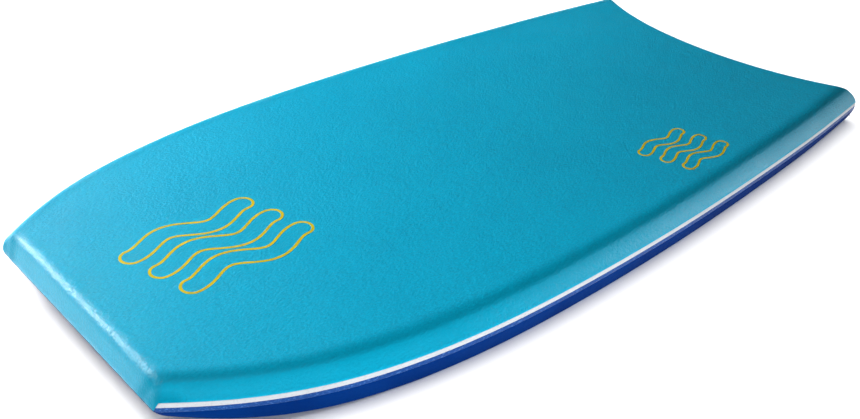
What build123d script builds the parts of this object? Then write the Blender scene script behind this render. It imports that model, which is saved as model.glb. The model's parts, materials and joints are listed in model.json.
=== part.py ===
from build123d import *
import math
import os

# Prone bodyboard, 41.5 inch, crescent tail, 60/40 double rail.
# Row frame: millimetres, +Z up, nose towards -Y, tail towards +Y, X across the board.
# Origin: under the middle of the board, on the flat of the slick bottom.

# ---------------------------------------------------------------- driving dimensions
LENGTH = 1054.0            # nose face to tail tips
Y_NOSE = -LENGTH / 2

# half-width of the outline at its widest line (the pinline), against distance from the nose
WIDTH_AT = [0, 45.2, 110.5, 210.9, 331.4, 451.9, 622.7, 803.4, 944.0, 1044.5]
HALF_WIDTH = [160.3, 192.9, 228.0, 258.3, 274.2, 277.8, 273.6, 261.0, 247.3, 234.0]

# height of the chine's lower edge (top of the pinline) over the flat, against distance from the nose
PIN_AT = [0, 60.3, 140.6, 281.2, 451.9, 703.0, 1044.5]
PIN_TOP = [41.1, 40.4, 38.5, 37.1, 36.6, 35.2, 33.5]

PINLINE_H = 6.0            # white strip
STRIP_H = 6.0              # textured strip under it
SEAM = 0.4                 # the deck skin laps this far below the chine's edge
RAIL_T = 4.0               # thickness of the strips and the lower rail
LOWER_IN = 9.0             # how far the lower rail leans in at the slick
LOWER_IN_NOSE = 3.0

CHINE_IN = 14.5            # straight part of the chine, inboard and up
CHINE_UP = 11.1
ROUND_IN = 33.0            # where the rounded shoulder meets the deck
ROUND_UP = 15.3
DECK_UP = 18.5             # middle of the deck above the pinline
DECK_UP_NOSE = 15.8
DECK_T = 3.2               # deck skin

NOSE_ROCKER = 24.4         # slick lift at the nose
ROCKER_FROM = 251.0
ROCKER_POWER = 2.3
TAIL_ROCKER = 2.3
TAIL_ROCKER_FROM = 803.0

NOSE_LINE_Z = 30.9         # the nose face's foremost line
NOSE_LEAN = 0.467          # nose face, back per unit up
NOSE_UNDER = 6.0           # how far the under-nose bevel runs back

SLICK_T = 1.2
MESH_T = 0.5
BACKING_T = 2.9
BUMPER_END = 78.0          # nose bumper, back from the nose
BULB_X, BULB_Y, BULB_DROP = 112.0, 46.0, 6.5

CRESCENT_R = 440.0
TIP_R = 9.0
TAIL_WRAP_T = 3.2

CHANNEL_R = 150.0          # tail channels, cut by a tilted cylinder
CHANNEL_X = 112.0
CHANNEL_FROM = 800.0
CHANNEL_DEPTH = 4.0

STRINGER_Z = 28.0
STRINGER_OD = 12.0
STRINGER_ID = 10.0
BORE_D = 12.2
STRINGER_FROM, STRINGER_TO = 64.0, 955.0

# ---------------------------------------------------------------- curves


def natural_spline(xs, ys):
    n = len(xs)
    h = [xs[i + 1] - xs[i] for i in range(n - 1)]
    a, b, c, d = [0.0] * n, [1.0] * n, [0.0] * n, [0.0] * n
    for i in range(1, n - 1):
        a[i], b[i], c[i] = h[i - 1], 2 * (h[i - 1] + h[i]), h[i]
        d[i] = 6 * ((ys[i + 1] - ys[i]) / h[i] - (ys[i] - ys[i - 1]) / h[i - 1])
    for i in range(1, n):
        m = a[i] / b[i - 1]
        b[i] -= m * c[i - 1]
        d[i] -= m * d[i - 1]
    s = [0.0] * n
    s[-1] = d[-1] / b[-1]
    for i in range(n - 2, -1, -1):
        s[i] = (d[i] - c[i] * s[i + 1]) / b[i]

    def f(x):
        if x <= xs[0]:
            slope = (ys[1] - ys[0]) / h[0] - h[0] * (2 * s[0] + s[1]) / 6
            return ys[0] + slope * (x - xs[0])
        if x >= xs[-1]:
            slope = (ys[-1] - ys[-2]) / h[-1] + h[-1] * (s[-2] + 2 * s[-1]) / 6
            return ys[-1] + slope * (x - xs[-1])
        i = max(j for j in range(n - 1) if xs[j] <= x)
        t, u = x - xs[i], xs[i + 1] - x
        return (s[i] * u**3 + s[i + 1] * t**3) / (6 * h[i]) + (ys[i] / h[i] - s[i] * h[i] / 6) * u + (
            ys[i + 1] / h[i] - s[i + 1] * h[i] / 6
        ) * t

    return f


half_width = natural_spline(WIDTH_AT, HALF_WIDTH)
pin_top = natural_spline(PIN_AT, PIN_TOP)


def bottom(y):
    z = 0.0
    if y < ROCKER_FROM:
        z = NOSE_ROCKER * ((ROCKER_FROM - y) / ROCKER_FROM) ** ROCKER_POWER
    if y > TAIL_ROCKER_FROM:
        z = TAIL_ROCKER * ((y - TAIL_ROCKER_FROM) / (LENGTH - TAIL_ROCKER_FROM)) ** 2
    return z


def deck_up(y):
    t = min(max(y / 160.0, 0.0), 1.0)
    t = t * t * (3 - 2 * t)
    return DECK_UP_NOSE + (DECK_UP - DECK_UP_NOSE) * t


def obliquity(y):
    slope = (half_width(y + 1) - half_width(y - 1)) / 2
    return math.sqrt(1 + slope * slope)


# ---------------------------------------------------------------- cross-sections
FLOOR = -10.0
CHINE_ANGLE = math.atan2(CHINE_UP, CHINE_IN)


def section(y, inner):
    """Closed cross-section at distance y from the nose: the outside, or the core block inside the skins."""
    w, zp, k = half_width(y), pin_top(y), obliquity(y)
    zs = zp - PINLINE_H - STRIP_H
    fade = min(max(y / 200.0, 0.0), 1.0)
    lean = LOWER_IN_NOSE + (LOWER_IN - LOWER_IN_NOSE) * fade
    per_mm = lean / (zs - bottom(max(y, 0.0)))
    x_floor = w - per_mm * (zs - FLOOR)
    side = RAIL_T * k if inner else 0.0
    cx = DECK_T * math.sin(CHINE_ANGLE) * k if inner else 0.0
    cz = DECK_T * math.cos(CHINE_ANGLE) if inner else 0.0
    top = DECK_T if inner else 0.0
    p1 = (x_floor - side * 1.03, FLOOR)
    p2 = (w - side, zs)
    p3 = (w - side, zp + (0.7 if inner else 0.0))
    p4 = (w - CHINE_IN - cx, zp + CHINE_UP - cz)
    p5 = (w - ROUND_IN, zp + ROUND_UP - top)
    slope = CHINE_UP / CHINE_IN
    flat = 0.03
    # control point of the shoulder: chine line meets the deck's tangent line
    x = (p5[1] + flat * p5[0] - p4[1] - slope * p4[0]) / (flat - slope)
    ctrl = (x, p5[1] - flat * (x - p5[0]))
    zd = zp + deck_up(y) - top
    run = p5[0]
    a1 = (p5[0] - 0.25 * run, p5[1] + flat * 0.25 * run * 0.6)
    a2 = (0.35 * run, zd)
    return p1, p2, p3, p4, ctrl, p5, a1, a2, (0.0, zd)


def wire(y, inner):
    p1, p2, p3, p4, ctrl, p5, a1, a2, mid = section(y, inner)
    yy = Y_NOSE + y

    def v(p, s=1):
        return (s * p[0], yy, p[1])

    e = [
        Line(v(p1, -1), v(p1)),
        Line(v(p1), v(p2)),
        Line(v(p2), v(p3)),
        Line(v(p3), v(p4)),
        Bezier(v(p4), v(ctrl), v(p5)),
        Bezier(v(p5), v(a1), v(a2), v(mid)),
        Bezier(v(mid), v(a2, -1), v(a1, -1), v(p5, -1)),
        Bezier(v(p5, -1), v(ctrl, -1), v(p4, -1)),
        Line(v(p4, -1), v(p3, -1)),
        Line(v(p3, -1), v(p2, -1)),
        Line(v(p2, -1), v(p1, -1)),
    ]
    return Face(Wire(e))


STATIONS = [-34 + 47.0 * i for i in range(25)]      # evenly spaced, so the loft stays fair


def hull(inner):
    return Solid.make_loft([wire(y, inner).outer_wire() for y in STATIONS])


def ribbon(y0, y1, low, high, step=20.0, half=320.0):
    """Block across the whole width between two heights given along the board."""

    def line(f):
        if isinstance(f, (int, float)):
            return [(y0, f), (y1, f)]
        n = max(2, int((y1 - y0) / step))
        return [(y0 + (y1 - y0) * i / n, f(y0 + (y1 - y0) * i / n)) for i in range(n + 1)]

    lo, hi = line(low), line(high)

    def edge(pts):
        pts = [(half * -1, Y_NOSE + y, z) for y, z in pts]
        return Line(*pts) if len(pts) == 2 else Spline(*pts)

    a, b = edge(lo), edge(hi)
    w = Wire([a, Line(a @ 1, b @ 1), b, Line(b @ 0, a @ 0)])
    return Solid.extrude(Face(w), Vector(2 * half, 0, 0))


def underside(t):
    """Everything below the surface that lies t above the slick's outer face."""
    flat0, flat1 = ROCKER_FROM, TAIL_ROCKER_FROM
    x = -330.0
    nose = [(-14.0 + (flat0 + 14.0) * i / 14.0) for i in range(15)]
    tail = [(flat1 + (1070.0 - flat1) * i / 6.0) for i in range(7)]
    n_pts = [(x, Y_NOSE + y, bottom(y) + t) for y in nose]
    t_pts = [(x, Y_NOSE + y, bottom(y) + t) for y in tail]
    e1 = Spline(*n_pts, tangents=[(0, 1, (bottom(-13.5) - bottom(-14.5))), (0, 1, 0)])
    e2 = Line(n_pts[-1], t_pts[0])
    end_slope = bottom(1070.5) - bottom(1069.5)
    e3 = Spline(*t_pts, tangents=[(0, 1, 0), (0, 1, end_slope)])
    low_a = (x, n_pts[0][1], -40.0)
    low_b = (x, t_pts[-1][1], -40.0)
    w = Wire([e1, e2, e3, Line(t_pts[-1], low_b), Line(low_b, low_a), Line(low_a, n_pts[0])])
    block = Solid.extrude(Face(w), Vector(660, 0, 0))
    run = LENGTH - CHANNEL_FROM
    tilt = math.degrees(math.atan2(CHANNEL_DEPTH + TAIL_ROCKER, run))
    for sx in (-1, 1):
        c = Solid.make_cylinder(
            CHANNEL_R + t,
            run + 120,
            Plane(
                origin=(sx * CHANNEL_X, Y_NOSE + CHANNEL_FROM - 60, -CHANNEL_R - 60 * math.tan(math.radians(tilt))),
                x_dir=(1, 0, 0),
                z_dir=(0, math.cos(math.radians(tilt)), math.sin(math.radians(tilt))),
            ),
        )
        block = block.fuse(c)
    return block


def solids_of(x):
    if isinstance(x, (list, tuple)):
        return [q for item in x for q in item.solids()]
    return list(x.solids()) if x is not None else []


def minus(a, *tools):
    """The solids of a with every tool taken away."""
    out = solids_of(a)
    for tool in tools:
        for t in solids_of(tool):
            nxt = []
            for s in out:
                nxt += solids_of(s.cut(t))
            out = nxt
    return out


def common(a, b):
    """The solids that a and b share."""
    out = []
    for s in solids_of(a):
        for t in solids_of(b):
            out += solids_of(s.intersect(t))
    return out


def joined(a, *others):
    """a fused with all the others."""
    first, *more = solids_of(a)
    for o in others:
        more += solids_of(o)
    return solids_of(first.fuse(*more)) if more else [first]


def only_solid(shape):
    s = solids_of(shape)
    assert s, "empty"
    s = sorted(s, key=lambda q: -q.volume)
    if len(s) > 1:
        print("   pieces", [round(q.volume, 2) for q in s])
    return s[0]


def plan_tail(extra_r, with_tips=True):
    """Tail cutter: everything behind the crescent and outside the rounded tips."""
    slope = (half_width(1044) - half_width(1014)) / 30.0
    yc = LENGTH - TIP_R
    xc = half_width(1034) + slope * (yc - 1034) - TIP_R * math.sqrt(1 + slope * slope)
    cy = yc + math.sqrt((CRESCENT_R + TIP_R) ** 2 - xc * xc)
    disc = Solid.make_cylinder(CRESCENT_R + extra_r, 200, Plane(origin=(0, Y_NOSE + cy, -60)))
    if not with_tips:
        return disc
    # wedge outside each tip circle
    cut = disc
    tx = xc * CRESCENT_R / (CRESCENT_R + TIP_R)
    ty = cy + (yc - cy) * CRESCENT_R / (CRESCENT_R + TIP_R)
    nx = 1 / math.sqrt(1 + slope * slope)
    ny = -slope * nx
    sx_, sy_ = xc + TIP_R * nx, yc + TIP_R * ny
    for s in (-1, 1):
        pts = [
            (s * tx, Y_NOSE + ty),
            (s * xc, Y_NOSE + yc),
            (s * sx_, Y_NOSE + sy_),
            (s * (sx_ + 60), Y_NOSE + sy_ - 0.0),
            (s * (sx_ + 60), Y_NOSE + LENGTH + 60),
            (s * tx, Y_NOSE + LENGTH + 60),
        ]
        w = Wire([Line((*pts[i], -60), (*pts[(i + 1) % len(pts)], -60)) for i in range(len(pts))])
        wedge = Solid.extrude(Face(w), Vector(0, 0, 200))
        wedge = wedge.cut(Solid.make_cylinder(TIP_R, 200, Plane(origin=(s * xc, Y_NOSE + yc, -60))))
        cut = cut.fuse(wedge)
    return cut


def yz_block(pts, half=330.0):
    q = [(-half, Y_NOSE + y, z) for y, z in pts]
    w = Wire([Line(q[i], q[(i + 1) % len(q)]) for i in range(len(q))])
    return Solid.extrude(Face(w), Vector(2 * half, 0, 0))


def build():
    parts = {}
    lay1, lay2, lay3 = SLICK_T, SLICK_T + MESH_T, SLICK_T + MESH_T + BACKING_T

    # nose cutters
    def nose_cutter(off):
        return yz_block(
            [
                (-60, -40),
                (NOSE_UNDER + 7, -40),
                (NOSE_UNDER, bottom(NOSE_UNDER)),
                (0, NOSE_LINE_Z),
                (NOSE_LEAN * (100 - NOSE_LINE_Z), 100),
                (-60, 100),
            ]
            if off == 0
            else [
                (-60, NOSE_LINE_Z),
                (off, NOSE_LINE_Z),
                (off + NOSE_LEAN * (100 - NOSE_LINE_Z), 100),
                (-60, 100),
            ]
        )

    t_h = DECK_T * math.sqrt(1 + NOSE_LEAN**2)
    tail = plan_tail(0)
    outer = minus(hull(False), nose_cutter(0), tail)
    inner = only_solid(minus(hull(True), tail))
    nose_shell = nose_cutter(t_h)

    v0, v1, v2, v3 = underside(0), underside(lay1), underside(lay2), underside(lay3)
    body = only_solid(minus(outer, v0))

    # nose bumper zone, under and behind the nose line
    n = 8
    top_line = [(14 + (BUMPER_END - 14) * i / n, bottom(14 + (BUMPER_END - 14) * i / n) + lay3) for i in range(n + 1)]
    bumper_zone = yz_block([(-60, -40), (BUMPER_END, -40)] + top_line[::-1] + [(t_h, NOSE_LINE_Z), (-60, NOSE_LINE_Z)])
    bumper_cap = yz_block([(t_h, NOSE_LINE_Z)] + top_line + [(BUMPER_END, 100), (t_h, 100)])

    # deck skin: over the pinline, outside the core block, and the nose face
    above = ribbon(-14, 1070, lambda y: pin_top(y) - SEAM, 120.0)
    shell = minus(body, inner)
    skin_sides = minus(common(shell, above), nose_shell)
    skin_nose = common(body, nose_shell)
    parts["deck_skin"] = only_solid(joined(skin_sides, skin_nose))

    rest = minus(body, nose_shell, above)               # rails and bottom layers, with the core still in
    nose_bumper = common(rest, bumper_zone)
    for s in (-1, 1):
        bulb = Solid.make_sphere(1.0).scale((30.0, 17.0, 14.0))
        bulb = bulb.moved(Location((s * BULB_X, Y_NOSE + BULB_Y, bottom(BULB_Y) + 14.0 - BULB_DROP)))
        nose_bumper = joined(nose_bumper, bulb)
    parts["nose_bumper"] = only_solid(minus(nose_bumper, bumper_cap))

    behind = minus(rest, bumper_zone)
    # the slick runs full width; the mesh and the backing foam stay inside the rails and the tail skin
    wrap_zone = plan_tail(TAIL_WRAP_T, with_tips=False)
    parts["slick"] = only_solid(common(behind, v1))
    inside = minus(common(inner, body), nose_shell, bumper_zone, v1)
    parts["tail_wrap"] = only_solid(common(inside, wrap_zone))
    inside = minus(inside, wrap_zone)
    parts["slick_mesh"] = only_solid(common(inside, v2))
    inside = minus(inside, v2)
    parts["slick_backing"] = only_solid(common(inside, v3))
    core = minus(inside, v3)
    sides = minus(shell, nose_shell, v1, bumper_zone)
    low_seam = lambda y: pin_top(y) - PINLINE_H - STRIP_H + SEAM
    mid_seam = lambda y: pin_top(y) - PINLINE_H
    lo = ribbon(-14, 1070, -60.0, low_seam)
    md = ribbon(-14, 1070, low_seam, mid_seam)
    hi = ribbon(-14, 1070, mid_seam, lambda y: pin_top(y) - SEAM)
    for name, zone in (("lower_rail", lo), ("rail_strip", md), ("pinline", hi)):
        ring = common(sides, zone)
        print("   ", name, [round(q.volume, 1) for q in ring])
        parts[name + "_right"] = only_solid([q for q in ring if q.center().X > 0])
        parts[name + "_left"] = only_solid([q for q in ring if q.center().X < 0])

    # stringer in its bore, closed behind by a foam plug
    def rod(r, y0, y1):
        return Solid.make_cylinder(
            r, y1 - y0, Plane(origin=(0, Y_NOSE + y0, STRINGER_Z), x_dir=(1, 0, 0), z_dir=(0, 1, 0))
        )

    flange, spigot = 2.0, 14.0
    parts["core"] = only_solid(minus(core, rod(BORE_D / 2, STRINGER_FROM - flange - 0.2, 1200)))
    parts["stringer_tube"] = only_solid(
        minus(rod(STRINGER_OD / 2, STRINGER_FROM, STRINGER_TO), rod(STRINGER_ID / 2, STRINGER_FROM - 1, STRINGER_TO + 1))
    )
    parts["stringer_cap_nose"] = only_solid(
        joined(
            rod(STRINGER_OD / 2, STRINGER_FROM - flange, STRINGER_FROM),
            rod(STRINGER_ID / 2 - 0.05, STRINGER_FROM - 0.5, STRINGER_FROM + spigot),
        )
    )
    parts["stringer_cap_tail"] = only_solid(
        joined(
            rod(STRINGER_OD / 2, STRINGER_TO, STRINGER_TO + flange),
            rod(STRINGER_ID / 2 - 0.05, STRINGER_TO - spigot, STRINGER_TO + 0.5),
        )
    )
    parts["stringer_plug"] = only_solid(minus(rod(BORE_D / 2, STRINGER_TO + flange, 1100), wrap_zone))
    return parts


os.makedirs("parts", exist_ok=True)
PARTS = build()
total = 0.0
for name, solid in PARTS.items():
    solid.label = name
    export_step(solid, "parts/" + name + ".step")
    total += solid.volume
    print(name, "valid", solid.is_valid, "volume", round(solid.volume / 1000, 2), "cm3")
print("total volume litres", round(total / 1e6, 3))
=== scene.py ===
import json
import math

import bpy
import numpy as np
from mathutils import Matrix, Vector


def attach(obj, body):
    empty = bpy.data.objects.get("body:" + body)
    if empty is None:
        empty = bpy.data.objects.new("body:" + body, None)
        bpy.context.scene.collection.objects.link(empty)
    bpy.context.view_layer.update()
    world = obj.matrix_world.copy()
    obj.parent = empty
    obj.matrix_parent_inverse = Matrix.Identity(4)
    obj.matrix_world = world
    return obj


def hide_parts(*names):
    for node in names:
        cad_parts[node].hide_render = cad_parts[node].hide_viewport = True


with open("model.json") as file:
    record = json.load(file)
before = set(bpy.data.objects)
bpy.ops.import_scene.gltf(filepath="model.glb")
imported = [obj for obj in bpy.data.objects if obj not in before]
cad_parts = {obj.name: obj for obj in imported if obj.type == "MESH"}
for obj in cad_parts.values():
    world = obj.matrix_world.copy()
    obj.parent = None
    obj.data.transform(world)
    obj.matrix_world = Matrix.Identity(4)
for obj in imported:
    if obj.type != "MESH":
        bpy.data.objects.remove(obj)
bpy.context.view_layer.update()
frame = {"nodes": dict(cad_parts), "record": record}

# ------------------------------------------------------------------ board geometry, millimetres from the nose
LENGTH = 1054.0
Y_NOSE = -LENGTH / 2
WIDTH_AT = [0, 45.2, 110.5, 210.9, 331.4, 451.9, 622.7, 803.4, 944.0, 1044.5]
HALF_WIDTH = [160.3, 192.9, 228.0, 258.3, 274.2, 277.8, 273.6, 261.0, 247.3, 234.0]
PIN_AT = [0, 60.3, 140.6, 281.2, 451.9, 703.0, 1044.5]
PIN_TOP = [41.1, 40.4, 38.5, 37.1, 36.6, 35.2, 33.5]
PINLINE_H, STRIP_H, RAIL_T, SEAM = 6.0, 6.0, 4.0, 0.4
LOWER_IN, LOWER_IN_NOSE = 9.0, 3.0
CHINE_IN, CHINE_UP, ROUND_IN, ROUND_UP = 14.5, 11.1, 33.0, 15.3
DECK_UP, DECK_UP_NOSE, DECK_T = 18.5, 15.8, 3.2
NOSE_ROCKER, ROCKER_FROM, ROCKER_POWER = 24.4, 251.0, 2.3
TAIL_ROCKER, TAIL_ROCKER_FROM = 2.3, 803.0
NOSE_LINE_Z, NOSE_LEAN, NOSE_UNDER = 30.9, 0.467, 6.0
SLICK_T, MESH_T, BACKING_T = 1.2, 0.5, 2.9
BUMPER_END, BULB_X, BULB_Y, BULB_DROP = 78.0, 112.0, 46.0, 6.5
CRESCENT_R, TIP_R = 440.0, 9.0
CHANNEL_R, CHANNEL_X, CHANNEL_FROM, CHANNEL_DEPTH = 150.0, 112.0, 800.0, 4.0


class Natural:
    """Natural cubic spline, straight beyond its ends."""

    def __init__(self, xs, ys):
        self.x, self.y = np.array(xs, float), np.array(ys, float)
        n = len(xs)
        h = np.diff(self.x)
        A = np.eye(n)
        d = np.zeros(n)
        for i in range(1, n - 1):
            A[i, i - 1], A[i, i], A[i, i + 1] = h[i - 1], 2 * (h[i - 1] + h[i]), h[i]
            d[i] = 6 * ((self.y[i + 1] - self.y[i]) / h[i] - (self.y[i] - self.y[i - 1]) / h[i - 1])
        self.s = np.linalg.solve(A, d)
        self.h = h
        self.s0 = (self.y[1] - self.y[0]) / h[0] - h[0] * (2 * self.s[0] + self.s[1]) / 6
        self.s1 = (self.y[-1] - self.y[-2]) / h[-1] + h[-1] * (self.s[-2] + 2 * self.s[-1]) / 6

    def __call__(self, q):
        q = np.asarray(q, float)
        c = np.clip(q, self.x[0], self.x[-1])
        i = np.clip(np.searchsorted(self.x, c, side="right") - 1, 0, len(self.h) - 1)
        t, u, h = c - self.x[i], self.x[i + 1] - c, self.h[i]
        s, y = self.s, self.y
        v = (s[i] * u**3 + s[i + 1] * t**3) / (6 * h) + (y[i] / h - s[i] * h / 6) * u + (y[i + 1] / h - s[i + 1] * h / 6) * t
        return v + np.minimum(q - self.x[0], 0) * self.s0 + np.maximum(q - self.x[-1], 0) * self.s1


half_width, pin_top = Natural(WIDTH_AT, HALF_WIDTH), Natural(PIN_AT, PIN_TOP)
smooth = lambda t: t * t * (3 - 2 * t)


def bottom(y):
    y = np.asarray(y, float)
    nose = NOSE_ROCKER * np.clip((ROCKER_FROM - y) / ROCKER_FROM, 0, None) ** ROCKER_POWER
    tail = TAIL_ROCKER * np.clip((y - TAIL_ROCKER_FROM) / (LENGTH - TAIL_ROCKER_FROM), 0, None) ** 2
    return nose + tail


def deck_up(y):
    return DECK_UP_NOSE + (DECK_UP - DECK_UP_NOSE) * smooth(np.clip(np.asarray(y, float) / 160.0, 0, 1))


def slope_of(y):
    return (half_width(np.asarray(y) + 1) - half_width(np.asarray(y) - 1)) / 2


# tail outline
_sl = float((half_width(1044) - half_width(1014)) / 30.0)
TIP_Y = LENGTH - TIP_R
TIP_X = float(half_width(1034) + _sl * (TIP_Y - 1034) - TIP_R * math.sqrt(1 + _sl * _sl))
CRES_Y = TIP_Y + math.sqrt((CRESCENT_R + TIP_R) ** 2 - TIP_X**2)
# where the tip circle meets the crescent, and where it meets the side
JOIN_X = TIP_X * CRESCENT_R / (CRESCENT_R + TIP_R)
JOIN_Y = CRES_Y + (TIP_Y - CRES_Y) * CRESCENT_R / (CRESCENT_R + TIP_R)
_n = math.sqrt(1 + _sl * _sl)
SIDE_X, SIDE_Y = TIP_X + TIP_R / _n, TIP_Y - TIP_R * _sl / _n


def outline_end(ax):
    """y of the tail edge at |x| = ax, up to the side."""
    ax = np.asarray(ax, float)
    cres = CRES_Y - np.sqrt(np.clip(CRESCENT_R**2 - ax**2, 0, None))
    tip = TIP_Y + np.sqrt(np.clip(TIP_R**2 - (ax - TIP_X) ** 2, 0, None))
    return np.where(ax <= JOIN_X, cres, tip)


CHINE_TAN = CHINE_UP / CHINE_IN
_FLAT = 0.03
_CU = ((ROUND_UP + _FLAT * -ROUND_IN) - (CHINE_UP - CHINE_TAN * CHINE_IN)) / (CHINE_TAN - _FLAT)
_CZ = CHINE_TAN * _CU


def section_top(n_chine=16, n_round=26, n_deck=44):
    """Right half of the top section, from the chine's edge to the middle: callable parameters (kind, t)."""
    rows = [("chine", t) for t in np.linspace(0, 1, n_chine, endpoint=False)]
    rows += [("round", t) for t in np.linspace(0, 1, n_round, endpoint=False)]
    rows += [("deck", t) for t in np.linspace(0, 1, n_deck)]
    return rows


def top_point(kind, t, y):
    """(x, z) on the right half of the top at station y."""
    w, zp = half_width(y), pin_top(y)
    if kind == "chine":
        return w - CHINE_IN * t, zp + CHINE_UP * t
    p5x, p5z = w - ROUND_IN, zp + ROUND_UP
    if kind == "round":
        cx, cz = w - _CU, zp + _CZ
        a, b, c = (1 - t) ** 2, 2 * t * (1 - t), t * t
        return a * (w - CHINE_IN) + b * cx + c * p5x, a * (zp + CHINE_UP) + b * cz + c * p5z
    zd = zp + deck_up(y)
    x1, z1 = p5x * 0.75, p5z + _FLAT * 0.25 * p5x * 0.6
    x2 = 0.35 * p5x
    a, b, c, d = (1 - t) ** 3, 3 * t * (1 - t) ** 2, 3 * t * t * (1 - t), t**3
    return a * p5x + b * x1 + c * x2, a * p5z + b * z1 + c * zd + d * zd


_TT = None


def top_height(x, y):
    """Height of the top surface over (x, y), by looking the section up at each y."""
    global _TT
    if _TT is None:
        ys = np.linspace(-20, 1070, 219)
        us = np.concatenate([np.linspace(0, 48, 193), np.linspace(0, 1, 60)[1:] + 48])   # inboard mm, then share of the rest
        table = np.zeros((len(ys), len(us)))
        rows = section_top(40, 80, 160)
        for i, yy in enumerate(ys):
            pts = np.array([top_point(k, t, yy) for k, t in rows], float)
            w = float(half_width(yy))
            inb = w - pts[:, 0]
            q = np.where(us <= 48, us, 48 + (us - 48) * (w - 48))
            table[i] = np.interp(q, inb, pts[:, 1])
        _TT = (ys, us, table)
    ys, us, table = _TT
    w = half_width(y)
    inb = np.clip(w - np.abs(x), 0, None)
    u = np.where(inb <= 48, inb, 48 + (inb - 48) / (w - 48))
    u = np.clip(u, us[0], us[-1])
    iy = np.clip((y - ys[0]) / (ys[1] - ys[0]), 0, len(ys) - 1.001)
    i0 = np.floor(iy).astype(int)
    fy = iy - i0
    j = np.clip(np.searchsorted(us, u, side="right") - 1, 0, len(us) - 2)
    fu = (u - us[j]) / (us[j + 1] - us[j])
    a = table[i0, j] * (1 - fu) + table[i0, j + 1] * fu
    b = table[i0 + 1, j] * (1 - fu) + table[i0 + 1, j + 1] * fu
    extra = np.minimum(w - np.abs(x), 0) * CHINE_TAN
    return a * (1 - fy) + b * fy + extra


# ------------------------------------------------------------------ mesh helpers
def mesh_object(name, verts_mm, faces, smooth_shade=True):
    v = np.asarray(verts_mm, float).copy()
    v[:, 1] += Y_NOSE
    v /= 1000.0
    me = bpy.data.meshes.new(name)
    me.from_pydata([tuple(map(float, p)) for p in v], [], [tuple(int(i) for i in f) for f in faces])
    me.validate(clean_customdata=False)
    me.update()
    ob = bpy.data.objects.new(name, me)
    bpy.context.scene.collection.objects.link(ob)
    if smooth_shade:
        me.polygons.foreach_set("use_smooth", np.ones(len(me.polygons), bool))
    return ob


def grid_faces(nu, nv, wrap_u=False, flip=False, base=0):
    """Quads of an nu by nv grid whose index is u * nv + v."""
    f = []
    for i in range(nu if wrap_u else nu - 1):
        a, b = i, (i + 1) % nu
        for j in range(nv - 1):
            q = (base + a * nv + j, base + b * nv + j, base + b * nv + j + 1, base + a * nv + j + 1)
            f.append(q[::-1] if flip else q)
    return f


def fix_normals(ob):
    import bmesh
    bm = bmesh.new()
    bm.from_mesh(ob.data)
    bmesh.ops.remove_doubles(bm, verts=bm.verts, dist=1e-6)
    bmesh.ops.recalc_face_normals(bm, faces=bm.faces)
    bm.to_mesh(ob.data)
    bm.free()
    ob.data.polygons.foreach_set("use_smooth", np.ones(len(ob.data.polygons), bool))
    ob.data.update()


def smax(a, b, k):
    """Smooth maximum with a blend k wide: an inside corner of radius about k."""
    h = np.clip(k - np.abs(a - b), 0, None) / k
    return np.maximum(a, b) + h * h * k * 0.25


def smin(a, b, k):
    return -smax(-a, -b, k)


# ------------------------------------------------------------------ the hull as one field: below 0 inside
def top_level(x, y, z):
    inb = half_width(y) - np.abs(x)
    lean = CHINE_TAN * smooth(np.clip((26.0 - inb) / 16.0, 0, 1))
    return (z - top_height(x, y)) / np.sqrt(1 + lean**2)


def nose_level(y, z):
    face = -(y - NOSE_LEAN * (z - NOSE_LINE_Z)) / math.hypot(1.0, NOSE_LEAN)
    drop = NOSE_LINE_Z - float(bottom(NOSE_UNDER))
    under = (-drop * y + NOSE_UNDER * (NOSE_LINE_Z - z)) / math.hypot(drop, NOSE_UNDER)
    return face, under


def side_level(x, y):
    return (np.abs(x) - half_width(y)) / np.sqrt(1 + slope_of(y) ** 2)


def plan_level(x, y):
    """Distance outside the outline, and how much of a tail edge it is, 0 on the sides to 1 on the crescent."""
    ax = np.abs(x)
    side = side_level(x, y)
    cres = CRESCENT_R - np.hypot(x, y - CRES_Y)
    dx, dy = ax - TIP_X, y - TIP_Y
    tip = np.hypot(dx, dy) - TIP_R
    n0 = (1 / _n, -_sl / _n)
    n1 = (-TIP_X, CRES_Y - TIP_Y)
    wedge = (n0[0] * dy - n0[1] * dx > 0) & (dx * n1[1] - dy * n1[0] > 0)
    v = np.where(wedge, tip, np.maximum(side, cres))
    return v, smooth(np.clip((cres + 12.0) / 10.0, 0, 1))


def channel_surface(x, y):
    tan = (CHANNEL_DEPTH + TAIL_ROCKER) / (LENGTH - CHANNEL_FROM)
    q = np.minimum(np.abs(np.abs(x) - CHANNEL_X), CHANNEL_R * 0.9)
    return -CHANNEL_R + (y - CHANNEL_FROM) * tan + np.sqrt(CHANNEL_R**2 - q**2)


def bottom_surface(x, y):
    return smax(bottom(y), channel_surface(x, y), 0.8)


def rail_low(y):
    """Height of the lower rail's upper edge, and its lean per mm down."""
    zs = pin_top(y) - PINLINE_H - STRIP_H
    lean = LOWER_IN_NOSE + (LOWER_IN - LOWER_IN_NOSE) * np.clip(y / 200.0, 0, 1)
    return zs, lean / (zs - bottom(np.clip(y, 0, None)))


def slant_level(x, y, z):
    zs, per = rail_low(y)
    return (np.abs(x) - half_width(y) + per * (zs - z)) / np.sqrt(1 + slope_of(y) ** 2 + per**2)


def bulb_level(P):
    q = [(np.abs(P[:, 0]) - BULB_X) / 30.0, (P[:, 1] - BULB_Y) / 17.0, (P[:, 2] - float(bottom(BULB_Y)) - 14.0 + BULB_DROP) / 14.0]
    return (np.sqrt(q[0] ** 2 + q[1] ** 2 + q[2] ** 2) - 1) * 14.0


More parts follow.
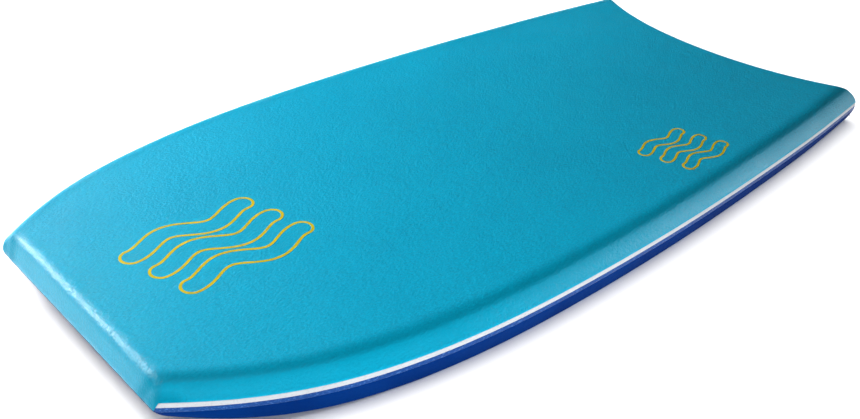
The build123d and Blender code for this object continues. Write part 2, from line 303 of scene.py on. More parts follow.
def hull_field(P):
    x, y, z = P[:, 0], P[:, 1], P[:, 2]
    face, under = nose_level(y, z)
    plan, tailness = plan_level(x, y)
    inb = half_width(y) - np.abs(x)
    a = smax(top_level(x, y, z), face, 4.0 + 6.0 * smooth(np.clip((inb - 5.0) / 20.0, 0, 1)))
    b = smax(np.maximum(plan, -40), slant_level(x, y, z), 1.6 + 1.6 * tailness)
    a = smax(a, b, 1.3 + 3.2 * tailness)
    a = smax(a, under, 5.0)
    a = smax(a, bottom_surface(x, y) - z, 2.4)
    return smin(a, bulb_level(P), 5.0) if len(P) and P[:, 1].min() < 90 else a


def settle(P, steps=8, e=0.02):
    shape = P.shape
    P = P.reshape(-1, 3).copy()
    for _ in range(steps):
        f = hull_field(P)
        g = np.zeros_like(P)
        for k in range(3):
            d = np.zeros(3)
            d[k] = e
            g[:, k] = (hull_field(P + d) - hull_field(P - d)) / (2 * e)
        n2 = np.clip((g * g).sum(1), 0.25, None)
        P -= g * np.clip(f / n2, -2.5, 2.5)[:, None]
    return P.reshape(shape)


def tail_cross(x_of, lo=940.0, hi=1056.0):
    """For columns whose |x| at y is x_of(y): the y at which each leaves the outline at the tail."""
    lo = np.full_like(np.asarray(x_of(lo), float), lo)
    hi = np.full_like(lo, hi)
    for _ in range(36):
        mid = (lo + hi) / 2
        out = plan_level(x_of(mid), mid)[0] > 0.02
        hi = np.where(out, mid, hi)
        lo = np.where(out, lo, mid)
    return lo


# ------------------------------------------------------------------ sheets on the hull
NOSE_BACK = DECK_T * math.hypot(1, NOSE_LEAN)
NOSE_LIP = 0.9


def deck_sheet():
    rows = section_top(18, 30, 52)
    cols = [(k, t, 1) for k, t in rows] + [(k, t, -1) for k, t in rows[:-1][::-1]]
    kinds = np.array([{"chine": 0, "round": 1, "deck": 2}[c[0]] for c in cols])
    ts = np.array([c[1] for c in cols])
    sg = np.array([c[2] for c in cols], float)

    def col_point(y):
        y = np.broadcast_to(np.asarray(y, float), ts.shape)
        out = np.zeros((len(ts), 2))
        for kk, name in enumerate(("chine", "round", "deck")):
            m = kinds == kk
            out[m, 0], out[m, 1] = top_point(name, ts[m], y[m])
        return out

    yr = np.full(len(ts), 8.0)
    for _ in range(30):
        yr = NOSE_LEAN * (col_point(yr)[:, 1] - NOSE_LINE_Z)
    ridge = col_point(yr)
    ye = tail_cross(lambda y: col_point(y)[:, 0])
    xb = ridge[:, 0] * (float(half_width(0)) / float(half_width(yr[0])))
    V, nf = [], 24
    for t in np.linspace(0, 1, nf, endpoint=False):
        x = xb + (ridge[:, 0] - xb) * t
        z = NOSE_LINE_Z + (ridge[:, 1] - NOSE_LINE_Z) * t
        V.append(np.c_[x * sg, NOSE_LEAN * (z - NOSE_LINE_Z), z])
    d = np.concatenate([np.arange(0, 24, 1.2), np.linspace(24, 60, 14)[1:]])
    tl = np.concatenate([np.arange(0, 9, 0.7), np.linspace(9, 40, 11)[1:]])
    ys = [yr + a for a in d]
    a0, b0 = ys[-1], ye - tl[-1]
    ys += [a0 + (b0 - a0) * t for t in np.linspace(0, 1, 180)[1:-1]]
    ys += [ye - a for a in tl[::-1]]
    for y in ys:
        p = col_point(y)
        V.append(np.c_[p[:, 0] * sg, y, p[:, 1]])
    last = V[-1]
    n_top = len(V)
    seam = pin_top(last[:, 1]) - SEAM
    zl = np.maximum(seam, last[:, 2] - np.where(kinds == 2, DECK_T, 4.0))
    for t in np.linspace(0, 1, 7)[1:]:
        q = last.copy()
        q[:, 2] = last[:, 2] + (zl - last[:, 2]) * t
        V.append(q)
    G = np.array(V)

    def lip(colm, s):
        c = G[:, colm].copy()
        c[: nf + 1, 1] += np.where(c[: nf + 1, 2] < pin_top(0) - SEAM + 0.6, NOSE_LIP, NOSE_BACK)
        c[: nf + 1, 0] = s * half_width(c[: nf + 1, 1])
        c[nf + 1: n_top, 2] = pin_top(c[nf + 1: n_top, 1]) - SEAM
        c[n_top:, 2] = pin_top(c[n_top:, 1]) - SEAM
        return c

    G = np.concatenate([lip(0, 1)[:, None], G, lip(len(cols) - 1, -1)[:, None]], axis=1)
    return settle(G)


def tip_arc(phi0, phi1, n):
    return [(phi0 + (phi1 - phi0) * t) for t in np.linspace(0, 1, n)]


PHI_SIDE = math.atan2(-_sl, 1.0)
PHI_JOIN = math.atan2(CRES_Y - TIP_Y, -TIP_X)


def bumper_top(y):
    return np.interp(y, [0, NOSE_BACK] + list(np.linspace(14, BUMPER_END, 9)), [NOSE_LINE_Z, NOSE_LINE_Z] + list(bottom(np.linspace(14, BUMPER_END, 9)) + SLICK_T + MESH_T + BACKING_T))


def strip_sheet(z_hi, z_lo, sign, nz=7, lean=False, y_from=None):
    """Rail piece between two heights given along the board: rows follow the outline, columns go down."""
    t = np.linspace(0, 1, nz)
    lines = []
    y_ends = []
    for tt in t:
        zf = lambda y, tt=tt: z_hi(y) + (z_lo(y) - z_hi(y)) * tt
        if y_from is None:
            y0 = 6.0
            for _ in range(20):
                y0 = NOSE_LIP + NOSE_LEAN * max(float(zf(y0)) - NOSE_LINE_Z, 0.0) + 0.05
        else:
            y0 = y_from
        if lean:
            zs, per = rail_low(np.array(SIDE_Y))
            inset = float(per * max(0.0, float(zs) - float(zf(SIDE_Y))))
        else:
            inset = 0.0
        phi0 = math.acos(max(-1.0, min(1.0, (TIP_R - inset) / TIP_R))) + PHI_SIDE * (1 - min(1.0, inset / TIP_R))
        y1 = TIP_Y + TIP_R * math.sin(phi0)
        f = np.concatenate([np.linspace(0, 1, 260) ** 1.15 * 0.97, np.linspace(0.97, 1, 14)[1:]])
        ya = y0 + (y1 - y0) * f
        z = zf(ya)
        x = half_width(ya)
        if lean:
            zs, per = rail_low(ya)
            x = x - per * np.clip(zs - z, 0, None)
        A = np.c_[x, ya, z]
        ph = np.linspace(phi0, PHI_JOIN, 22)[1:]
        B = np.c_[TIP_X + TIP_R * np.cos(ph), TIP_Y + TIP_R * np.sin(ph), np.zeros(len(ph))]
        B[:, 2] = zf(B[:, 1])
        lines.append(np.r_[A, B])
    G = np.array(lines).transpose(1, 0, 2)          # along, down
    G = settle(G)
    G[..., 0] *= sign
    return G


def outward(P, sample=None):
    """True if the grid's own face order points away from the board's middle line."""
    nu, nv = P.shape[:2]
    i, j = nu // 2, nv // 2
    a, b, c = P[i, j], P[i + 1, j], P[i, j + 1]
    n = np.cross(b - a, c - a)
    e = 0.05
    out = hull_field((P[i, j] + n / np.linalg.norm(n) * e)[None] * np.array([[1, 1, 1]]))[0]
    inn = hull_field((P[i, j] - n / np.linalg.norm(n) * e)[None])[0]
    return out > inn


def apply_modifiers(ob):
    dg = bpy.context.evaluated_depsgraph_get()
    me = bpy.data.meshes.new_from_object(ob.evaluated_get(dg), depsgraph=dg)
    ob.modifiers.clear()
    old = ob.data
    ob.data = me
    bpy.data.meshes.remove(old)


def sheet_object(name, P, thickness, bevel=0.35):
    """A sheet of the hull, thickened inwards, with its cut edges eased."""
    nu, nv = P.shape[:2]
    ob = mesh_object(name, P.reshape(-1, 3), grid_faces(nu, nv, flip=not outward(P)))
    import bmesh
    bm = bmesh.new()
    bm.from_mesh(ob.data)
    bmesh.ops.remove_doubles(bm, verts=bm.verts, dist=3e-6)
    bmesh.ops.dissolve_degenerate(bm, dist=2e-6, edges=bm.edges)
    bm.to_mesh(ob.data)
    bm.free()
    m = ob.modifiers.new("thick", "SOLIDIFY")
    m.thickness, m.offset, m.use_rim = thickness / 1000.0, -1.0, True
    if bevel:
        b = ob.modifiers.new("edge", "BEVEL")
        b.width, b.segments, b.limit_method, b.angle_limit = bevel / 1000.0, 2, "ANGLE", math.radians(55)
    apply_modifiers(ob)
    ob.data.polygons.foreach_set("use_smooth", np.ones(len(ob.data.polygons), bool))
    return ob


def bottom_edge_x(y):
    """|x| of the lower corner, where the slanted rail meets the slick's face."""
    zs, per = rail_low(y)
    return half_width(y) - per * (zs - bottom(y))


def slick_sheet():
    s = np.concatenate([np.sin(np.linspace(-1, 1, 150) * math.pi / 2)])
    ax = np.abs(s)
    x_of = lambda y: ax * bottom_edge_x(np.asarray(y, float))
    ye = tail_cross(x_of)
    y0 = BUMPER_END + 0.1
    rows = []
    f = np.concatenate([np.linspace(0, 0.985, 210), 1 - 0.015 * (1 - np.linspace(0, 1, 14)[1:]) ** 1.3])
    for t in f:
        y = y0 + (ye - y0) * t
        x = x_of(y) * np.sign(s)
        rows.append(np.c_[x, y, bottom_surface(x, y)])
    last = rows[-1]
    for t in (0.35, 0.7, 1.0):
        q = last.copy()
        q[:, 2] += SLICK_T * t
        rows.append(q)
    G = np.array(rows)
    lips = []
    for col, sg in ((0, -1), (-1, 1)):
        c = G[:, col].copy()
        zs, per = rail_low(c[:, 1])
        top = bottom(c[:, 1]) + SLICK_T
        c[:, 0] += sg * per * np.clip(top - c[:, 2], 0, None)
        c[:, 2] = np.maximum(top, c[:, 2])
        lips.append(c)
    G = np.concatenate([lips[0][:, None], G, lips[1][:, None]], axis=1)
    return settle(G)


def bumper_sheet():
    s = np.sin(np.linspace(-1, 1, 170) * math.pi / 2)
    drop = float(bottom(NOSE_UNDER))
    prof = [(0.0 + NOSE_UNDER * t, NOSE_LINE_Z - 0.05 + (drop - NOSE_LINE_Z) * t) for t in np.linspace(0, 1, 9)[:-1]]
    ys = np.linspace(NOSE_UNDER, BUMPER_END, 60)
    prof += [(y, float(bottom(y))) for y in ys]
    rows = []
    for y, z in prof:
        zs, per = rail_low(np.array(y))
        xe = float(half_width(y)) - float(per) * max(0.0, float(zs) - z)
        rows.append(np.c_[s * xe, np.full(len(s), y), np.full(len(s), z)])
    G = np.array(rows)
    low = G.copy()
    b = bulb_level(G.reshape(-1, 3)).reshape(G.shape[:2])
    G[..., 2] -= np.clip(-b, 0, 8) * 0.8
    lips = []
    for col, sg in ((0, -1), (-1, 1)):
        c = low[:, col].copy()
        zt = bumper_top(c[:, 1])
        zs, per = rail_low(c[:, 1])
        z1 = np.maximum(zt, c[:, 2] + 0.05)
        c[:, 0] = sg * (half_width(c[:, 1]) - per * np.clip(zs - z1, 0, None))
        c[:, 2] = z1
        lips.append(c)
    G = np.concatenate([lips[0][:, None], G, lips[1][:, None]], axis=1)
    return settle(G, steps=14)


def wrap_sheet():
    a1 = math.atan2(JOIN_X, CRES_Y - JOIN_Y)
    al = np.linspace(-a1, a1, 150)
    x, y = CRESCENT_R * np.sin(al), CRES_Y - CRESCENT_R * np.cos(al)
    hi = top_height(x, y) - DECK_T
    lo = bottom_surface(x, y) + SLICK_T
    rows = [np.c_[x, y, hi + (lo - hi) * t] for t in np.linspace(0, 1, 12)]
    return settle(np.array(rows))


seam_top = lambda y: pin_top(y) - SEAM
seam_mid = lambda y: pin_top(y) - PINLINE_H
seam_low = lambda y: pin_top(y) - PINLINE_H - STRIP_H + SEAM
lower_end = lambda y: np.where(y < BUMPER_END, bumper_top(y), bottom(y) + SLICK_T)

pieces = {}
pieces["deck_skin"] = sheet_object("deck_skin_foam", deck_sheet(), DECK_T - 0.2, 0.3)
for side, sg in (("right", 1), ("left", -1)):
    pieces["pinline_" + side] = sheet_object("pinline_strip_" + side, strip_sheet(seam_top, seam_mid, sg), RAIL_T - 0.3, 0.35)
    pieces["rail_strip_" + side] = sheet_object("rail_band_" + side, strip_sheet(seam_mid, seam_low, sg), RAIL_T - 0.3, 0.35)
    pieces["lower_rail_" + side] = sheet_object("lower_rail_foam_" + side, strip_sheet(seam_low, lower_end, sg, 14, True, 9.2), RAIL_T - 0.3, 0.35)
pieces["slick"] = sheet_object("slick_skin", slick_sheet(), SLICK_T - 0.1, 0.15)
pieces["nose_bumper"] = sheet_object("nose_bumper_foam", bumper_sheet(), 4.2, 0.4)
pieces["tail_wrap"] = sheet_object("tail_wrap_foam", wrap_sheet(), 3.0, 0.35)
for node, ob in pieces.items():
    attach(ob, "root")
    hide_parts(node)

# ------------------------------------------------------------------ printed graphic: outlined waves, closed ribbons a tenth of a millimetre proud
PRINT_UP, PRINT_DOWN = 0.12, 0.45


def wave_outline(x0, y0, y1, half, amp, wave, phase, n=90):
    """A closed path round a wavy band: up one side, round the end, back down the other."""
    y = np.linspace(y0, y1, n)
    k = 2 * math.pi / wave
    x = x0 + amp * np.sin(k * (y - y0) + phase)
    d = amp * k * np.cos(k * (y - y0) + phase)
    ln = np.sqrt(1 + d * d)
    N = np.c_[-1 / ln, d / ln]
    C = np.c_[x, y]
    T = np.c_[d / ln, 1 / ln]
    a = np.linspace(0, math.pi, 17)[1:-1]
    top = [C[-1] + half * (N[-1] * math.cos(t) + T[-1] * math.sin(t)) for t in a]
    low = [C[0] + half * (-N[0] * math.cos(t) - T[0] * math.sin(t)) for t in a]
    return np.r_[C + N * half, top, (C - N * half)[::-1], low]


def lift(x, y, up):
    P = np.c_[x, y, top_height(x, y)]
    P = settle(P, steps=4)
    P[:, 2] += up
    return P


def print_ribbons(name, paths, width):
    V, F = [], []
    for path in paths:
        nx = np.roll(path, -1, 0) - np.roll(path, 1, 0)
        nx /= np.linalg.norm(nx, axis=1)[:, None]
        side = np.c_[-nx[:, 1], nx[:, 0]] * width / 2
        rings = []
        for sg, up in ((1, PRINT_UP), (-1, PRINT_UP), (-1, -PRINT_DOWN), (1, -PRINT_DOWN)):
            q = path + side * sg
            rings.append(lift(q[:, 0], q[:, 1], up))
        base = sum(len(v) for v in V)
        n = len(path)
        V.append(np.concatenate(rings))
        for i in range(n):
            j = (i + 1) % n
            for a in range(4):
                b = (a + 1) % 4
                F.append((base + a * n + i, base + a * n + j, base + b * n + j, base + b * n + i))
    ob = mesh_object(name, np.concatenate(V), F)
    fix_normals(ob)
    ob.data.polygons.foreach_set("use_smooth", np.zeros(len(ob.data.polygons), bool))
    return ob


nose_waves = [wave_outline(-38 + 41 * i, 86 + 11 * i, 230 + 11 * i, 12.0, 9.0, 96, math.pi / 2) for i in range(3)]
tail_waves = [wave_outline(155 + 27 * i, 676 + 9 * i, 754 + 9 * i, 7.2, 4.2, 52, math.pi / 2) for i in range(3)]
prints = {"deck_print_nose": nose_waves, "deck_print_tail": tail_waves}
for name in list(prints):
    ob = print_ribbons(name, prints[name], 3.2 if "nose" in name else 2.8)
    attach(ob, "root")
    prints[name] = ob

# ------------------------------------------------------------------ materials


class Mat:
    """A node material with the board's own coordinates, in metres."""

    def __init__(self, name, rough=0.5, spec=0.5, ior=1.5):
        self.m = bpy.data.materials.new(name)
        self.m.use_nodes = True
        self.nt = self.m.node_tree
        self.b = self.nt.nodes["Principled BSDF"]
        self.b.inputs["Roughness"].default_value = rough
        self.b.inputs["Specular IOR Level"].default_value = spec
        self.b.inputs["IOR"].default_value = ior
        self.pos = self.nt.nodes.new("ShaderNodeTexCoord").outputs["Object"]

    def add(self, kind, **values):
        n = self.nt.nodes.new(kind)
        for k, v in values.items():
            setattr(n, k, v)
        return n

    def put(self, socket, v):
        if isinstance(v, bpy.types.NodeSocket):
            self.nt.links.new(v, socket)
        else:
            socket.default_value = v

    def mapped(self, scale=(1, 1, 1), turn=0.0):
        n = self.add("ShaderNodeMapping")
        self.put(n.inputs["Vector"], self.pos)
        n.inputs["Scale"].default_value = scale
        n.inputs["Rotation"].default_value = (0, 0, turn)
        return n.outputs[0]

    def noise(self, scale, detail=2.0, rough=0.5, vec=None, distort=0.0):
        n = self.add("ShaderNodeTexNoise")
        self.put(n.inputs["Vector"], vec or self.pos)
        n.inputs["Scale"].default_value = scale
        n.inputs["Detail"].default_value = detail
        n.inputs["Roughness"].default_value = rough
        n.inputs["Distortion"].default_value = distort
        return n.outputs["Fac"]

    def cells(self, scale, vec=None, feature="F1", smooth_=None, rand=1.0):
        n = self.add("ShaderNodeTexVoronoi", feature=feature)
        self.put(n.inputs["Vector"], vec or self.pos)
        n.inputs["Scale"].default_value = scale
        n.inputs["Randomness"].default_value = rand
        if smooth_ is not None:
            n.inputs["Smoothness"].default_value = smooth_
        return n.outputs["Distance"]

    def math(self, op, a, b=0.0, c=None):
        n = self.add("ShaderNodeMath", operation=op)
        self.put(n.inputs[0], a)
        self.put(n.inputs[1], b)
        if c is not None:
            self.put(n.inputs[2], c)
        return n.outputs[0]

    def span(self, v, lo, hi, to_lo=0.0, to_hi=1.0, ease=True):
        n = self.add("ShaderNodeMapRange", interpolation_type="SMOOTHSTEP" if ease else "LINEAR")
        self.put(n.inputs["Value"], v)
        for k, x in (("From Min", lo), ("From Max", hi), ("To Min", to_lo), ("To Max", to_hi)):
            n.inputs[k].default_value = x
        return n.outputs["Result"]

    def mix(self, fac, a, b, blend="MIX"):
        n = self.add("ShaderNodeMix", data_type="RGBA", blend_type=blend)
        self.put(n.inputs[0], fac)
        for s, v in ((n.inputs[6], a), (n.inputs[7], b)):
            self.put(s, (*v, 1) if isinstance(v, tuple) and len(v) == 3 else v)
        return n.outputs[2]

    def axis(self, which):
        n = self.add("ShaderNodeSeparateXYZ")
        self.put(n.inputs[0], self.pos)
        return n.outputs[which]

    def bump(self, height, dist_mm, strength=1.0, under=None):
        n = self.add("ShaderNodeBump")
        n.inputs["Strength"].default_value = strength
        n.inputs["Distance"].default_value = dist_mm / 1000.0
        self.put(n.inputs["Height"], height)
        if under is not None:
            self.put(n.inputs["Normal"], under)
        return n.outputs[0]

    def done(self, color=None, rough=None, normal=None, preview=(0.5, 0.5, 0.5)):
        for k, v in (("Base Color", color), ("Roughness", rough), ("Normal", normal)):
            if v is not None:
                self.put(self.b.inputs[k], (*v, 1) if isinstance(v, tuple) and len(v) == 3 else v)
        self.m.diffuse_color = (*preview, 1)
        return self.m


def pebble(k, fine, soft, turn=0.6):
    """Leather-like grain pressed into a foam skin: short creases over soft pebbles."""
    g = k.mapped((1.0, 0.62, 1.0), turn)
    crease = k.noise(fine, 4.0, 0.62, g, 0.35)
    bead = k.cells(fine * 0.72, g, "SMOOTH_F1", 0.6)
    swell = k.noise(soft, 2.0, 0.5)
    h = k.math("MULTIPLY_ADD", crease, 0.62, k.math("MULTIPLY", bead, 0.30))
    return k.math("MULTIPLY_ADD", swell, 0.45, h), crease, swell


def deck_material(name, base, dark, light, grain=0.85):
    k = Mat(name, 0.36, 0.5, 1.34)
    h, crease, swell = pebble(k, 540.0, 70.0)
    patch = k.noise(7.0, 3.0, 0.5)
    c = k.mix(k.span(patch, 0.3, 0.7), dark, light)
    c = k.mix(0.5, c, base)
    flat = k.math("MULTIPLY_ADD", k.add("ShaderNodeAttribute", attribute_name="chine").outputs["Fac"], -0.65, 1.0)
    c = k.mix(k.math("MULTIPLY", k.span(crease, 0.32, 0.54, 0.30, 0.0), flat), c, tuple(0.62 * v for v in dark))
    c = k.mix(k.math("MULTIPLY", k.span(crease, 0.48, 0.70, 0.0, 0.27), flat), c, tuple(min(1.0, 1.32 * v) for v in light))
    # painted shade: the fold mask darkens the colour towards 0.45 of the dark tone and lowers the specular level
    painted_fold_shade = k.add("ShaderNodeAttribute", attribute_name="painted_fold_shade").outputs["Fac"]
    c = k.mix(k.math("MULTIPLY", painted_fold_shade, 0.39), c, tuple(0.45 * v for v in dark))
    k.put(k.b.inputs["Specular IOR Level"], k.math("MULTIPLY_ADD", painted_fold_shade, -0.42, 0.5))
    sheen = k.span(k.noise(16.0, 2.0, 0.5), 0.35, 0.65, 0.33, 0.38)
    r = k.math("MULTIPLY_ADD", k.math("SUBTRACT", crease, 0.5), 0.10, sheen)
    return k.done(c, r, k.bump(h, grain), base)


def foam_material(name, base, dark, fine, grain, rough=(0.34, 0.5), spec=0.5, glint_flecks=None, soft=60.0):
    k = Mat(name, rough[0], spec, 1.28)
    h, crease, swell = pebble(k, fine, soft, -0.5)
    c = k.mix(k.span(k.noise(11.0, 3.0, 0.55), 0.32, 0.68), dark, base)
    c = k.mix(k.span(crease, 0.32, 0.5, 0.35, 0.0), c, tuple(0.6 * v for v in dark))
    # painted glints: lighter, diagonally stretched flecks mixed into the colour stand in for glints on the grain
    if glint_flecks:
        f = k.noise(fine * 1.5, 1.0, 0.5, k.mapped((1.0, 0.45, 1.4), 0.9))
        c = k.mix(k.span(f, 0.56, 0.70, 0.0, 0.55), c, glint_flecks)
    r = k.span(k.noise(fine * 0.5, 2.0, 0.5), 0.3, 0.7, rough[0], rough[1])
    return k.done(c, r, k.bump(h, grain), base)


M = {}
M["deck_skin"] = deck_material("cyan_foam_skin", (0.0008, 0.350, 0.545), (0.0006, 0.328, 0.515), (0.0012, 0.368, 0.565))
M["pinline"] = foam_material("pale_pinline", (0.455, 0.48, 0.51), (0.415, 0.44, 0.475), 620.0, 0.05, (0.42, 0.55), 0.3)
# painted glints: the last colour is the lighter fleck colour that stands in for glints on the strip
M["rail_blue"] = foam_material("blue_grained_strip", (0.002, 0.046, 0.215), (0.0015, 0.034, 0.170), 420.0, 0.60, (0.30, 0.45), 0.35, (0.07, 0.19, 0.46))
M["rail_navy"] = foam_material("navy_foam_skin", (0.0003, 0.0225, 0.138), (0.0002, 0.0165, 0.112), 520.0, 0.12, (0.50, 0.62), 0.02)
M["bumper_foam"] = foam_material("navy_bumper_foam", (0.0003, 0.0225, 0.138), (0.0002, 0.0165, 0.112), 380.0, 0.14, (0.52, 0.64), 0.04)


def slick_material():
    k = Mat("polished_blue_film", 0.2, 0.5)
    run = k.mapped((140.0, 3.0, 60.0))
    lines = k.noise(1.0, 3.0, 0.6, run)
    peel = k.noise(150.0, 2.0, 0.5)
    c = k.mix(k.span(k.noise(5.0, 3.0, 0.5), 0.3, 0.7), (0.006, 0.060, 0.275), (0.009, 0.078, 0.320))
    wear = k.math("MULTIPLY", k.span(k.noise(9.0, 4.0, 0.6), 0.5, 0.72), k.span(lines, 0.55, 0.75))
    c = k.mix(k.math("MULTIPLY", wear, 0.35), c, (0.05, 0.16, 0.42))
    r = k.math("ADD", k.span(lines, 0.35, 0.7, 0.16, 0.30), k.math("MULTIPLY", wear, 0.25))
    n = k.bump(lines, 0.012, 0.6, k.bump(peel, 0.03, 0.8))
    return k.done(c, r, n, (0.01, 0.07, 0.3))


def bead_material(name, base, dark, scale=330.0):
    """Cut bead foam: round cells with darker joints."""
    k = Mat(name, 0.75, 0.3)
    d = k.cells(scale, None, "DISTANCE_TO_EDGE")
    joint = k.span(d, 0.0, 0.09, 1.0, 0.0)
    c = k.mix(k.span(k.noise(14.0, 2.0), 0.3, 0.7), base, tuple(0.95 * v for v in base))
    c = k.mix(k.math("MULTIPLY", joint, 0.6), c, dark)
    r = k.span(k.noise(scale, 2.0), 0.3, 0.7, 0.66, 0.82)
    h = k.math("MULTIPLY_ADD", k.noise(scale * 3, 2.0), 0.2, k.span(d, 0.0, 0.22))
    return k.done(c, r, k.bump(h, 0.18), base)


def mesh_material():
    k = Mat("polymer_mesh", 0.45, 0.5)
    waves = []
    for turn in (0.0, math.pi / 2):
        w = k.add("ShaderNodeTexWave", wave_type="BANDS", bands_direction="X", wave_profile="SIN")
        k.put(w.inputs["Vector"], k.mapped((1, 1, 1), turn))
        w.inputs["Scale"].default_value = 52.0
        waves.append(w.outputs["Fac"])
    strand = k.math("MAXIMUM", waves[0], waves[1])
    c = k.mix(k.span(strand, 0.5, 0.85), (0.32, 0.34, 0.36), (0.74, 0.75, 0.73))
    c = k.mix(k.span(k.noise(60.0, 2.0), 0.35, 0.65, 0.0, 0.2), c, (0.60, 0.60, 0.57))
    r = k.span(k.noise(300.0, 2.0), 0.3, 0.7, 0.4, 0.58)
    return k.done(c, r, k.bump(strand, 0.25), (0.7, 0.7, 0.7))


def tube_material():
    k = Mat("carbon_glass_tube", 0.32, 0.5)
    twist = []
    for turn in (0.78, -0.78):
        w = k.add("ShaderNodeTexWave", wave_type="BANDS", bands_direction="X", wave_profile="SIN")
        k.put(w.inputs["Vector"], k.mapped((1, 1, 1), turn))
        w.inputs["Scale"].default_value = 130.0
        twist.append(w.outputs["Fac"])
    weave = k.math("GREATER_THAN", twist[0], twist[1])
    c = k.mix(weave, (0.012, 0.012, 0.014), (0.032, 0.033, 0.036))
    c = k.mix(k.span(k.noise(40.0, 3.0), 0.45, 0.75, 0.0, 0.35), c, (0.06, 0.06, 0.06))
    r = k.math("MULTIPLY_ADD", weave, 0.12, k.span(k.noise(200.0, 2.0), 0.3, 0.7, 0.24, 0.36))
    return k.done(c, r, k.bump(k.math("ADD", twist[0], twist[1]), 0.03), (0.03, 0.03, 0.03))


def moulded_material():
    k = Mat("moulded_black_cap", 0.5, 0.4)
    h = k.noise(900.0, 2.0)
    c = k.mix(k.span(k.noise(70.0, 3.0), 0.35, 0.65), (0.018, 0.018, 0.020), (0.030, 0.030, 0.033))
    return k.done(c, k.span(k.noise(260.0, 2.0), 0.3, 0.7, 0.42, 0.6), k.bump(h, 0.03), (0.02, 0.02, 0.02))


def print_material():
    k = Mat("yellow_print", 0.5, 0.15)
    h, crease, swell = pebble(k, 430.0, 70.0)
    c = k.mix(k.span(k.noise(120.0, 3.0), 0.3, 0.7), (0.52, 0.400, 0.002), (0.60, 0.455, 0.004))
    c = k.mix(k.span(crease, 0.30, 0.45, 0.35, 0.0), c, (0.30, 0.24, 0.02))
    r = k.span(k.noise(300.0, 2.0), 0.3, 0.7, 0.42, 0.58)
    return k.done(c, r, k.bump(h, 0.3), (0.5, 0.36, 0.01))


M["slick"] = slick_material()
M["core_foam"] = bead_material("white_bead_foam", (0.86, 0.86, 0.82), (0.55, 0.56, 0.54))
M["backing_foam"] = bead_material("pale_backing_foam", (0.80, 0.81, 0.81), (0.52, 0.53, 0.54), 620.0)
M["mesh"] = mesh_material()
M["stringer"] = tube_material()
M["cap"] = moulded_material()
PRINT = print_material()

# painted shade: the deck skin's colour is darkened, and its specular lowered, in a band along the fold between deck and
# chine and on the nose face near both corners
ob = pieces["deck_skin"]
co = np.empty(len(ob.data.vertices) * 3)
ob.data.vertices.foreach_get("co", co)
co = co.reshape(-1, 3) * 1000.0
inboard = half_width(co[:, 1] - Y_NOSE) - np.abs(co[:, 0])
foot = 7.0 - 6.0 * smooth(np.clip((co[:, 1] - Y_NOSE) / 800.0, 0, 1))
painted_fold_shade = smooth(np.clip((inboard - foot) / (21.0 - foot), 0, 1)) * (1 - smooth(np.clip((inboard - 23.0) / 17.0, 0, 1)))
# painted shade on the nose face near both corners, fading out from 40 mm up
corner = smooth(np.clip((34.0 - inboard) / 30.0, 0, 1)) * (1 - smooth(np.clip((co[:, 1] - Y_NOSE - 16.0) / 14.0, 0, 1)))
painted_fold_shade = np.maximum(painted_fold_shade, corner * (1 - smooth(np.clip((co[:, 2] - 40.0) / 12.0, 0, 1))))
at = ob.data.attributes.new("painted_fold_shade", "FLOAT", "POINT")
at.data.foreach_set("value", painted_fold_shade.astype(np.float32))
at = ob.data.attributes.new("chine", "FLOAT", "POINT")
at.data.foreach_set("value", (1 - smooth(np.clip((inboard - 16.0) / 8.0, 0, 1))).astype(np.float32))

slot_of = {s["node"]: s["material_slot"] for s in frame["record"]["subparts"]}
for node, slot in slot_of.items():
    ob = pieces.get(node)
    if ob is not None:
        ob.data.materials.clear()
        ob.data.materials.append(M[slot])
        continue
    ob = frame["nodes"][node]
    for s in ob.material_slots:
        s.material = M[slot]
for ob in prints.values():
    ob.data.materials.append(PRINT)

# ------------------------------------------------------------------ floor, light, camera


def floor_material():
    k = Mat("studio_floor", 0.7, 0.2)
    c = k.mix(k.span(k.noise(3.0, 3.0), 0.3, 0.7), (0.86, 0.86, 0.86), (0.88, 0.88, 0.88))
    k.b.inputs["Emission Color"].default_value = (1, 1, 1, 1)
    k.b.inputs["Emission Strength"].default_value = FLOOR_GLOW
    return k.done(c, k.span(k.noise(40.0, 2.0), 0.3, 0.7, 0.66, 0.74), k.bump(k.noise(500.0, 2.0), 0.02), (0.9, 0.9, 0.9))


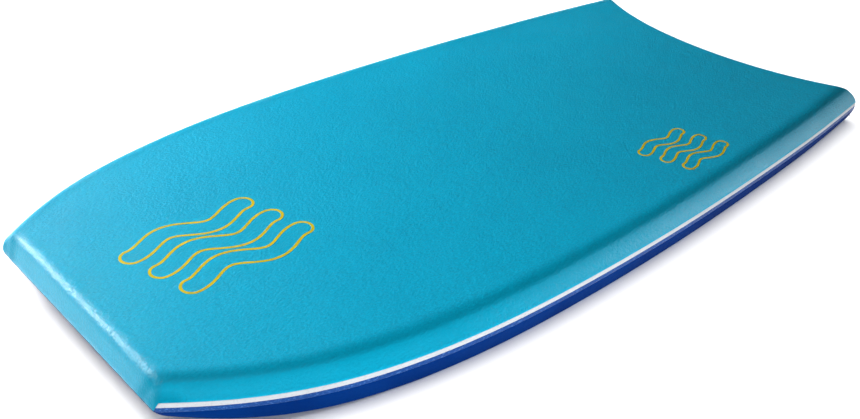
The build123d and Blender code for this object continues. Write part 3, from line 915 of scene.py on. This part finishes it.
FLOOR_GLOW = 0.0
WORLD = 0.08
LIGHTS = [
    # name, centre, aimed at, width, height, watts, what it does: d soft light, g gloss, f the floor alone
    ("far_softbox", (-2.12, -0.50, 0.60), (0.0, -0.15, 0.05), 1.35, 0.43, 156.0, "d"),
    ("near_softbox", (1.34, -0.42, 0.19), (0.1, -0.05, 0.03), 0.69, 0.33, 14.2, "d"),
    ("nose_softbox", (-0.96, -2.3, 0.60), (0.0, -0.5, 0.04), 1.4, 0.6, 2.5, "d"),
    ("overhead_softbox", (0.1, -0.6, 0.75), (0.05, -0.5, 0.0), 0.6, 0.6, 2.4, "d"),
    ("far_sheen", (-2.2, -0.15, 1.40), (0.0, -0.3, 0.05), 2.0, 0.8, 7.5, "g"),
    ("ridge_sheen", (-2.15, -1.42, 1.22), (0.0, -0.5, 0.05), 0.7, 0.5, 112.0, "g"),
    ("tail_sheen", (1.32, 3.0, 1.70), (0.25, 0.2, 0.04), 0.58, 0.58, 46.0, "g"),
    ("floor_wash", (0.0, 0.6, 3.2), (0.0, 0.6, 0.0), 5.0, 5.0, 230.0, "f"),
]

floor_me = bpy.data.meshes.new("floor")
floor_me.from_pydata([(-9, -9, -0.0005), (9, -9, -0.0005), (9, 9, -0.0005), (-9, 9, -0.0005)], [], [(0, 1, 2, 3)])
floor = bpy.data.objects.new("floor", floor_me)
bpy.context.scene.collection.objects.link(floor)
floor_me.materials.append(floor_material())
world = bpy.data.worlds.new("studio")
bpy.context.scene.world = world
world.use_nodes = True
world.node_tree.nodes["Background"].inputs[0].default_value = (1, 1, 1, 1)
world.node_tree.nodes["Background"].inputs[1].default_value = WORLD
only_floor = bpy.data.collections.new("floor_only")
only_floor.objects.link(floor)
for name, at, aim, w, h, watts, use in LIGHTS:
    d = bpy.data.lights.new(name, "AREA")
    d.shape, d.size, d.size_y, d.energy = "RECTANGLE", w, h, watts
    o = bpy.data.objects.new(name, d)
    bpy.context.scene.collection.objects.link(o)
    o.location = at
    o.rotation_euler = (Vector(aim) - Vector(at)).to_track_quat("-Z", "Y").to_euler()
    o.visible_diffuse, o.visible_glossy, o.visible_camera = use != "g", use != "d", False
    if use == "f":
        o.light_linking.receiver_collection = only_floor

bpy.context.scene.view_settings.view_transform = "Standard"
bpy.context.scene.view_settings.look = "None"

cam = bpy.data.cameras.new("camera")
cam.sensor_width = 36.0
cam.lens = 1075.93 / 860 * 36.0
cam.clip_start, cam.clip_end = 0.05, 60
cam_ob = bpy.data.objects.new("camera", cam)
bpy.context.scene.collection.objects.link(cam_ob)
R = np.array([[0.6598593686650156, 0.7510751544401945, 0.02171925338601055], [0.41411817363675196, -0.33940164709444387, -0.8445783919881802], [-0.6269702958264997, 0.566297302070403, -0.5349912277963207]])
cam_ob.matrix_world = Matrix(((R[0][0], -R[1][0], -R[2][0], 0.84097), (R[0][1], -R[1][1], -R[2][1], -0.81826), (R[0][2], -R[1][2], -R[2][2], 0.69259), (0, 0, 0, 1)))
bpy.context.scene.camera = cam_ob
